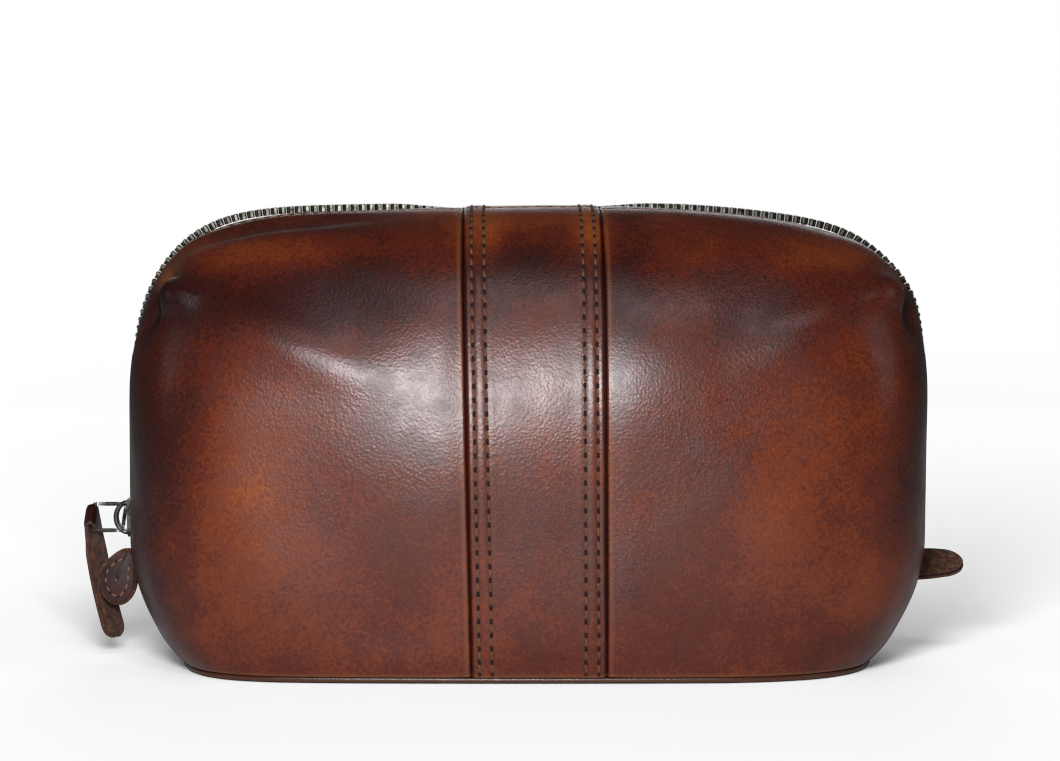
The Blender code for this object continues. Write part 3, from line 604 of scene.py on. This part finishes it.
def wax_and_shade_map(face, seam):
    """Where the wax lies dark, with painted shade in some of its patches, where hands have rubbed it off, and
    dark along the seams; seam is the nearest seam's distance.
    """
    x, z = face[..., 0] / MM, face[..., 2] / MM
    dark = sum(a * bell(x - u, w) * bell(z - v, h) for u, v, w, h, a in WAX_AND_SHADE_PATCHES)
    return dark + 1.0 * bell(seam, 0.35 * MM)


def leather_panel(word, side, place):
    columns, rows = (190, 150) if place != "centre" else (90, 150)
    face, left, right, foot, head = panel_grid(place, columns, rows)
    normal = outward(face)
    lift, worn, shade = panel_relief(place, face, left, right, foot, head)
    lift = lift - slack_edge(face, head, side)
    outer = settle(face + normal * lift[..., None], side)
    inner = settle(face + normal * (np.minimum(lift, 0.0) - LEATHER)[..., None], side)
    flip = np.array([1.0, side, 1.0])
    low_centre = bell(face[..., 0], 60 * MM) * (1 - ease(face[..., 2], 35 * MM, 75 * MM))
    seam = {"left": right, "centre": np.minimum(left, right), "right": left}[place]
    # the leather's tone: wax patches, some of them painted shade, and painted shade along the dart folds
    values = {"worn": np.clip(worn, 0, 1), "waxed": wax_and_shade_map(face, seam) + 0.9 * shade,
              "creased": 0.35 + 0.65 * low_centre}
    made = skin_mesh(f"{word}_{place}_leather", outer * flip, inner * flip, RIM_ROUND,
                     (HIDE, SUEDE, HIDE), values)
    bend_with(made)
    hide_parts(f"{word}_{place}_panel", f"{word}_lower_{place}")
    return made


# ---------------------------------------------------------------- thread
def stitch_run(name, lines, finish, side, size=THREAD, pitch=STITCH, body=None):
    """Saddle stitches along lines of (point, outward) pairs, with a hole at the end of each."""
    points, faces, picks = [], [], []
    ring, spine = 6, 6
    for line, normals in lines:
        run = along_length(line)
        total = int(run[-1] / pitch)
        for k in range(total):
            middle = (k + 0.5) / total * run[-1]
            span = middle - 0.39 * pitch, middle + 0.39 * pitch
            ends = np.array([np.interp(span, run, c) for c in line.T]).T
            up = unit(np.array([np.interp(middle, run, c) for c in normals.T]))
            along = unit(ends[1] - ends[0])
            aside = np.cross(up, along)
            length = np.linalg.norm(ends[1] - ends[0])
            start = len(points)
            for n in range(spine):
                u = n / (spine - 1)
                bow = math.sin(math.pi * u)
                centre = ends[0] + along * length * u + aside * 0.16 * size * (2 * u - 1)
                centre = centre + up * (size * 0.42 * bow - size * 0.34)
                thick = size / 2 * (0.62 + 0.38 * bow)
                for m in range(ring):
                    a = 2 * math.pi * m / ring
                    points.append(centre + thick * (math.cos(a) * aside + math.sin(a) * up))
            for n in range(spine - 1):
                for m in range(ring):
                    o, q = start + n * ring, (m + 1) % ring
                    faces.append([o + m, o + q, o + ring + q, o + ring + m])
                    picks.append(0)
            faces += [[start + m for m in range(ring)], [start + (spine - 1) * ring + m for m in range(ring)]]
            picks += [0, 0]
            for end, way in ((ends[0], -1.0), (ends[1], 1.0)):
                start = len(points)
                centre = end + along * way * 0.16 * size + up * 0.12 * size
                for wide, high, deep in ((0.72, 0.62, 0.0), (0.2, 0.2, 0.8)):
                    for m in range(8):
                        a = 2 * math.pi * m / 8
                        rim = wide * math.cos(a) * along + high * math.sin(a) * aside
                        points.append(centre + size * (rim - deep * up))
                for m in range(8):
                    q = (m + 1) % 8
                    faces.append([start + m, start + q, start + 8 + q, start + 8 + m])
                faces += [[start + m for m in range(8)], [start + 8 + m for m in range(8)]]
                picks += [1] * 10
    made = as_object(name, np.array(points) * (1.0, side, 1.0), faces, (finish, HOLE), picks)
    if body is None:
        bend_with(made)
    else:
        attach(made, body)
    return made


def row_beside_seam(place, edge, off, side):
    """A row of stitches at a distance from one edge of the centre panel."""
    face, left, right, foot, head = panel_grid(place, 90, 150)
    lift = panel_relief(place, face, left, right, foot, head)[0]
    normal = outward(face)
    far = left if edge == "left" else right
    line, normals = [], []
    raised = face + normal * lift[..., None]
    order = 1 if edge == "left" else -1
    for r in range(2, face.shape[1] - 2):
        column = far[::order, r]
        line.append([np.interp(off, column, raised[::order, r, c]) for c in range(3)])
        normals.append([np.interp(off, column, normal[::order, r, c]) for c in range(3)])
    return settle(np.array(line), side), np.array(normals)


def row_under_edge(side):
    """The row of stitches under the leather's edge, all along the zip."""
    lines = []
    for place in SPANS:
        columns = 190 if place != "centre" else 90
        face, left, right, foot, head = panel_grid(place, columns, 150)
        lift = panel_relief(place, face, left, right, foot, head)[0] - slack_edge(face, head, side)
        normal = outward(face)
        raised = settle(face + normal * lift[..., None], side)
        line, normals = [], []
        for c in range(face.shape[0]):
            if foot[c, -1] < 12 * MM or face[c, -1, 2] < MOUTH_Z + 8 * MM:
                continue
            order = slice(None, None, -1)
            line.append([np.interp(EDGE_ROW, head[c, order], raised[c, order, k]) for k in range(3)])
            normals.append([np.interp(EDGE_ROW, head[c, order], normal[c, order, k]) for k in range(3)])
        lines.append((np.array(line), np.array(normals)))
    return lines


def stitching(word, side):
    rows = [row_beside_seam("centre", edge, off, side) for edge in ("left", "right") for off in SEAM_ROWS]
    made = stitch_run(f"{word}_seam_stitches", rows, BROWN_THREAD, side)
    made = stitch_run(f"{word}_edge_stitches", row_under_edge(side), TAN_THREAD, side, pitch=4.0 * MM)


# ---------------------------------------------------------------- base and inside
def foot_sheet(name, finish, gone, draw_in, low, thick):
    """A flat sheet cut to the outline of the wall's foot, its cut edge a little rounded."""
    half = spaced(base_edge(-draw_in), np.linspace(0.0, 1.0, 161))
    ring = settle(np.concatenate([half, (half * (1, -1, 1))[-2:0:-1]]), FRONT)
    flat = unit(ring * (1, 1, 0))
    rounds = [(0.0, 6.0), (0.0, 0.35), (0.2, 0.06), (0.5, 0.0), (0.8, 0.06), (1.0, 0.35), (1.0, 6.0)]
    points = [np.column_stack([(ring - flat * back * MM)[:, :2], np.full(len(ring), low + up * thick)])
              for up, back in rounds]
    size, faces = len(ring), []
    for k in range(len(rounds) - 1):
        for c in range(size):
            n = (c + 1) % size
            faces.append([k * size + c, k * size + n, (k + 1) * size + n, (k + 1) * size + c])
    faces += [list(range(size)), [(len(rounds) - 1) * size + c for c in range(size)]]
    made = as_object(name, np.concatenate(points), faces, (finish,))
    paint(made, "worn", np.repeat([0.0, 0.2, 0.3, 0.3, 0.2, 0.1, 0.0], size))
    # the base leather's tone is set dark all over
    paint(made, "waxed", np.full(7 * size, 0.8))
    paint(made, "creased", np.full(7 * size, 0.4))
    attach(made, "bag_base")
    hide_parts(gone)


def base():
    """The flat base, whose raw edge shows as a thin band under the wall, and its stiffener."""
    foot_sheet("base_leather", HIDE, "base_panel", 0.3 * MM, 0.0, BASE_THICK)
    foot_sheet("base_stiffener", BOARD, "base_board", 3.2 * MM, 1.9 * MM, 1.5 * MM)


def inside_cloth(word, side):
    """The cotton lining of one half, from the floor up to the zip tape."""
    s = np.linspace(0.02, 2.98, 150)
    mix_up = np.linspace(0.0, 1.0, 60)
    face = wall(s, np.broadcast_to(0.012 + 0.973 * mix_up, (150, 60)))
    normal = outward(face)
    depth = LEATHER + TAPE + 1.6 * MM + 1.5 * MM * (1 - ease(face[..., 2], 8 * MM, 30 * MM))
    outer = settle(face - normal * depth[..., None], side)
    inner = settle(face - normal * (depth + LINING)[..., None], side)
    outer[..., 2] = np.maximum(outer[..., 2], 4.2 * MM)
    inner[..., 2] = np.maximum(inner[..., 2], 4.9 * MM)
    flip = np.array([1.0, side, 1.0])
    made = skin_mesh(f"{word}_lining_cloth", outer * flip, inner * flip, ((0.5, 0.1 * MM),),
                     (LINING_CLOTH,) * 3, {})
    bend_with(made)
    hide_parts(f"{word}_lining")


# ---------------------------------------------------------------- zip
def zip_tape(word, side):
    """The woven tape between the leather and the teeth, with a corded edge beside the teeth."""
    line = spaced(zip_line(MOUTH_Z + 3.2 * MM), np.linspace(0.0, 1.0, 420))
    offs = np.array([1.1, 1.7, 2.4, 3.2, 4.4, 6.0, 8.5, 11.5]) * MM
    face = np.stack([cast(line + (0.0, -off, 0.0)) for off in offs], axis=1)
    normal = outward(face)
    sink = LEATHER + 0.35 * MM - 0.3 * MM * bell(offs - 1.1 * MM, 1.0 * MM)
    outer = settle(face - normal * sink[None, :, None], side)
    inner = settle(face - normal * (sink + TAPE)[None, :, None], side)
    flip = np.array([1.0, side, 1.0])
    made = skin_mesh(f"{word}_tape_cloth", outer * flip, inner * flip, ((0.5, 0.1 * MM),),
                     (TAPE_CLOTH,) * 3, {})
    bend_with(made)
    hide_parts(f"{word}_zip_tape")


def tooth_shape():
    """One stamped tooth: jaws that clamp the tape, a neck, and a rounded head.

    Points run (across, along, up) in mm, across from the head at the zip's middle outwards."""
    outline = [(-0.75, 0.0), (-0.55, 0.52), (0.15, 0.62), (0.5, 0.42), (0.9, 0.42), (1.3, 0.66), (2.7, 0.66),
               (3.05, 0.4)]
    outline += [(x, -y) for x, y in reversed(outline[1:])]
    levels = [(-1.15, 0.8), (-0.95, 1.0), (0.95, 1.0), (1.2, 0.78)]
    return [[(1.15 + (x - 1.15) * (0.9 + 0.1 * grow), y * grow, z) for x, y in outline] for z, grow in levels]


def zip_teeth(word, side):
    """A row of stamped teeth along the tape, offset by half a pitch from the other row."""
    line = zip_line(MOUTH_Z + 4.2 * MM)
    count = int(along_length(line)[-1] / TOOTH_PITCH)
    shift = 0.0 if side == FRONT else 0.5
    spots = (np.arange(count) + 0.25 + shift) / (count + 0.5)
    middle = spaced(line, spots)
    ahead = spaced(line, np.minimum(spots + 0.0005, 1.0)) - spaced(line, np.maximum(spots - 0.0005, 0.0))
    along, up = unit(ahead), outward(middle)
    from_seams = ease(np.abs(middle[:, :1] + 2 * MM), 20 * MM, 44 * MM)
    proud = 1.6 * MM * ease(middle[:, 2:], 84 * MM, 112 * MM) * from_seams
    middle = settle(middle + up * (proud - 1.75 * MM), side)
    shape = tooth_shape()
    size = len(shape[0])
    points, faces = [], []
    for m, a, u in zip(middle, along, up):
        start = len(points)
        across = np.array([0.0, -1.0, 0.0])
        points += [m + MM * (across * x + a * y + u * z) for ring in shape for x, y, z in ring]
        for k in range(len(shape) - 1):
            for c in range(size):
                n, o = (c + 1) % size, start + k * size
                faces.append([o + c, o + n, o + size + n, o + size + c])
        last = start + (len(shape) - 1) * size
        faces += [[start + c for c in range(size)], [last + c for c in range(size)]]
    made = as_object(f"{word}_teeth_row", np.array(points) * (1.0, side, 1.0), faces, (TEETH,), smooth=False)
    bend_with(made)
    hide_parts(f"{word}_zip_teeth")


# ---------------------------------------------------------------- pull strap and tabs
def strip(name, path, across, halves, thick, finishes, body, gone):
    """A cut strip of leather along a path: rounded edges, a face of each side of the hide."""
    along = unit(np.gradient(path, axis=0))
    across = unit(across)
    normal = unit(np.cross(along, across))
    shares = np.linspace(-1.0, 1.0, 13)
    middle = path[:, None] + across[:, None] * (halves[:, None] * shares)[..., None]
    edge = (1.0 - 0.3 * np.abs(shares) ** 6)[None, :, None] * thick / 2
    outer, inner = middle + normal[:, None] * edge, middle - normal[:, None] * edge
    rounds = ((0.2, 0.1 * thick), (0.5, 0.16 * thick), (0.8, 0.1 * thick))
    made = skin_mesh(name, outer, inner, rounds, finishes, {})
    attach(made, body)
    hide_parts(gone)
    return made


def pull_strap():
    """One strip folded over the wire's outer bar, grain side out, its ends hanging together."""
    bar, tilt, lean = np.array(frame["joints"][4]["pos_m"]), math.radians(42), math.radians(11)
    bar_way = np.array([0.0, math.cos(tilt), math.sin(tilt)])
    thick, length = 1.3 * MM, 41 * MM
    down = np.array([math.sin(lean), 0.0, -math.cos(lean)])
    side = np.array([math.cos(lean), 0.0, math.sin(lean)])
    reach = np.linspace(1.0, 0.05, 40) * length
    apart = 0.8 * MM + 0.6 * MM * (1.0 - ease(reach, 2 * MM, 9 * MM))
    bow = 0.9 * MM * np.sin(math.pi * reach / length)
    leg = bar + down * reach[:, None] - side * bow[:, None]
    turn = np.linspace(0, math.pi, 15)[:, None]
    over = -unit(down - bar_way * (down @ bar_way))
    fold = bar + 1.4 * MM * (side * np.cos(turn) + over * np.sin(turn))
    path = np.concatenate([leg + side * apart[:, None], fold, (leg - side * apart[:, None])[::-1]])
    hang = np.concatenate([reach, np.zeros(15), reach[::-1]])
    twist = ease(hang, 0.0, 14 * MM)[:, None]
    across = bar_way * (1 - twist) + np.array([0.42, 0.9, 0.0]) * twist
    past = np.clip((hang - length + 4.4 * MM) / (4.4 * MM), 0.0, 0.985)
    halves = 4.4 * MM * (0.92 + 0.08 * ease(hang, 0, length)) * np.sqrt(1.0 - past**2)
    made = strip("pull_strap_leather", path, across, halves, thick, (TAB_HIDE, TAB_HIDE, SUEDE), "strap",
                 "pull_strap")
    for patch in made.data.polygons:
        if patch.normal.x > 0.15 and patch.center.z < bar[2] - 3 * MM:
            patch.material_index = 2     # the inner leg turns its flesh side to the bag


def slider_crown():
    """The cast bridge over the slider's plate: one smooth arch of flat bar."""
    bend = np.linspace(-math.pi / 2, math.pi / 2, 33)
    low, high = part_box("slider_crown")
    rise, half = high[0] - low[0] - 0.7 * MM, (high[2] - low[2]) / 2 - 0.7 * MM
    middle = (low[2] + high[2]) / 2
    path = np.stack([high[0] - rise * np.cos(bend), 0 * bend, middle + half * np.sin(bend)], axis=-1)
    strip("slider_bridge", path, np.broadcast_to((0.0, 1.0, 0.0), path.shape), np.full(33, 1.5 * MM),
          1.4 * MM, (STEEL,) * 3, "slider", "slider_crown")


def right_tab():
    """Two layers sewn back to back that stand straight out, suede side up."""
    wall_x, tilt = HALF_L - 3.5 * MM, math.radians(-140)
    across = np.array([0.0, math.cos(tilt), math.sin(tilt)])
    normal = np.array([0.0, -math.sin(tilt), math.cos(tilt)])
    normal = normal * np.sign(normal[2])
    length, half = 16.8 * MM, 5.6 * MM
    layers = (
        ("right_tab_top", 0.5, (SUEDE, SUEDE, SUEDE), "right_tab_upper", 0.0),
        ("right_tab_under", -0.5, (TAB_HIDE, TAB_HIDE, SUEDE), "right_tab_lower", 0.3 * MM),
    )
    for name, lift, finish, gone, grow in layers:
        reach = np.linspace(0.0, 1.0, 48) * (length + grow)
        past = np.clip((reach - length + half) / (half + grow), 0.0, 0.985)
        taper = 1.0 - 0.22 * ease(reach, 4 * MM, length)
        path = np.stack([wall_x + reach, 0 * reach, MOUTH_Z - half + 1.2 * MM * reach / length
                         - 0.8 * MM * (reach / length) ** 3], axis=-1) + normal * lift * 1.55 * MM
        strip(name, path, np.broadcast_to(across, path.shape), (half + grow) * taper * np.sqrt(1.0 - past**2),
              1.4 * MM, finish, "right_tab", gone)


LEFT_TAB_X, LEFT_TAB_Z = -136.0 * MM, 27.2 * MM


def leaf(name, grow, front_y, thick, dome, finishes, gone):
    """A rounded leaf of leather that hangs beside the wall from its top corner, flat to the front."""
    turn = np.linspace(0.0, 2 * math.pi, 73)[:, None]
    share = np.sin(np.linspace(0.02, 1.0, 12) * math.pi / 2)[None]
    x = (6.0 * MM + grow) * np.sin(turn) * share
    z = (8.8 * MM + grow) * np.cos(turn) * share
    x = x + 3.4 * MM * ease(z, 0.5 * MM, 9.5 * MM)
    y = front_y - dome * (1.0 - np.broadcast_to(share, x.shape) ** 2)
    face = np.stack([x + LEFT_TAB_X, y, z + LEFT_TAB_Z], axis=-1)
    back = face + np.array([0.0, thick, 0.0])
    rounds = ((0.25, 0.12 * thick), (0.5, 0.18 * thick), (0.75, 0.12 * thick))
    made = skin_mesh(name, face, back, rounds, finishes, {})
    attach(made, "left_tab")
    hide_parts(gone)


def left_tab():
    """Two sewn layers: a glossy face on a slightly larger backing whose suede rim shows."""
    y = -8.0 * MM
    leaf("left_tab_backing", 0.5 * MM, y + 0.1 * MM, 1.3 * MM, 0.2 * MM,
         (SUEDE, SUEDE, SUEDE), "left_tab_back")
    leaf("left_tab_front", -0.6 * MM, y - 1.35 * MM, 1.2 * MM, 0.45 * MM,
         (TAB_HIDE, SUEDE, SUEDE), "left_tab_face")
    turn = np.linspace(0.25 * math.pi, 2.02 * math.pi, 140)
    x, z = 3.7 * MM * np.sin(turn), 6.3 * MM * np.cos(turn)
    x = x + 3.4 * MM * ease(z, 0.5 * MM, 9.5 * MM)
    line = np.stack([x + LEFT_TAB_X, np.full_like(x, y - 1.5 * MM), z + LEFT_TAB_Z], axis=-1)
    forward = np.broadcast_to((0.0, -1.0, 0.0), line.shape)
    made = stitch_run("left_tab_stitches", [(line, forward)], TAN_THREAD, FRONT,
                      size=0.55 * MM, pitch=2.9 * MM, body="left_tab")


def rounded(node_name, finish, width, smooth=0):
    """A carried-over piece given its finish, its edges tumbled round where a width is given and drawn smooth
    where asked.
    """
    node = frame["nodes"][node_name]
    node.data.materials.clear()
    node.data.materials.append(finish)
    if width:
        edges = node.modifiers.new("tumbled_edges", "BEVEL")
        edges.width, edges.segments, edges.limit_method = width, 3, "ANGLE"
        edges.angle_limit = math.radians(35)
    if smooth:
        skin = node.modifiers.new("drawn_round", "SUBSURF")
        skin.levels = skin.render_levels = smooth
    node.data.shade_smooth()


# ---------------------------------------------------------------- stage
ROOM_LIGHT = 0.07        # the dim room around the table, in front of its white walls


def stage():
    """A pale floor that only catches the bag's shadow, in a white room."""
    bpy.ops.mesh.primitive_plane_add(size=4.0, location=(0, 0, -0.0004))
    floor = bpy.context.object
    floor.name = "pale_floor"
    made, tree, skin, _ = start_material("white_paper")
    feed(tree, skin, {"Base Color": "#f4f4f4", "Roughness": 0.9})
    floor.data.materials.append(made)
    floor.is_shadow_catcher = True
    world = bpy.data.worlds.new("white_room")
    world.use_nodes = True
    tree = world.node_tree
    seen = add(tree, "ShaderNodeLightPath").outputs["Is Camera Ray"]
    bright = {0: seen, 1: 1.0 - ROOM_LIGHT, 2: ROOM_LIGHT}
    strength = add(tree, "ShaderNodeMath", bright, operation="MULTIPLY_ADD")
    feed(tree, tree.nodes["Background"], {"Strength": strength, "Color": "#ffffff"})
    bpy.context.scene.world = world
    bpy.context.scene.view_settings.view_transform = "Standard"


def softbox(name, place, aim, width, height, power):
    light = bpy.data.lights.new(name, "AREA")
    light.shape = "RECTANGLE"
    light.size, light.size_y, light.energy = width, height, power
    light.color = (0.9, 0.96, 1.0)       # cool, as daylight lamps are
    lamp = bpy.data.objects.new(name, light)
    lamp.location = place
    lamp.visible_camera = False
    lamp.rotation_euler = (Vector(aim) - Vector(place)).to_track_quat("-Z", "Y").to_euler()
    bpy.context.collection.objects.link(lamp)


def camera():
    """A long lens, square to the front and a little above the zip."""
    lens = bpy.data.cameras.new("front_camera")
    lens.lens, lens.sensor_width = 90.0, 36.0
    eye = bpy.data.objects.new("front_camera", lens)
    aim, far, rise = Vector((0.8 * MM, 0.0, 92 * MM)), 883 * MM, math.radians(3.5)
    eye.location = aim + far * Vector((0.0, -math.cos(rise), math.sin(rise)))
    eye.rotation_euler = (aim - eye.location).to_track_quat("-Z", "Y").to_euler()
    bpy.context.collection.objects.link(eye)
    bpy.context.scene.camera = eye


camera()
stage()
softbox("front_softbox", (-0.045, -0.5, 0.20), (0, 0, 0.09), 0.13, 0.11, 1.9)
softbox("high_softbox", (0.1, -0.9, 1.0), (0, 0, 0.09), 0.5, 0.3, 1.6)
softbox("left_softbox", (-0.9, -0.35, 0.45), (0, 0, 0.08), 0.3, 0.5, 0.3)
softbox("right_softbox", (0.9, -0.35, 0.45), (0, 0, 0.08), 0.3, 0.5, 0.5)
softbox("back_softbox", (0.0, 1.1, 0.35), (0, 0, 0.08), 0.8, 0.5, 2.2)

for half_word, half_side in (("front", FRONT), ("back", BACK)):
    for panel_place in SPANS:
        leather_panel(half_word, half_side, panel_place)
    stitching(half_word, half_side)
    inside_cloth(half_word, half_side)
    zip_tape(half_word, half_side)
    zip_teeth(half_word, half_side)
base()

pull_strap()
right_tab()
left_tab()
rounded("lining_basin", LINING_CLOTH, 0.0)
rounded("slider_body", STEEL, 0.3 * MM)
slider_crown()
rounded("pull_loop", STEEL, 0.0, 2)
rounded("left_end_stop", STEEL, 0.3 * MM)
rounded("right_end_stop", STEEL, 0.3 * MM)
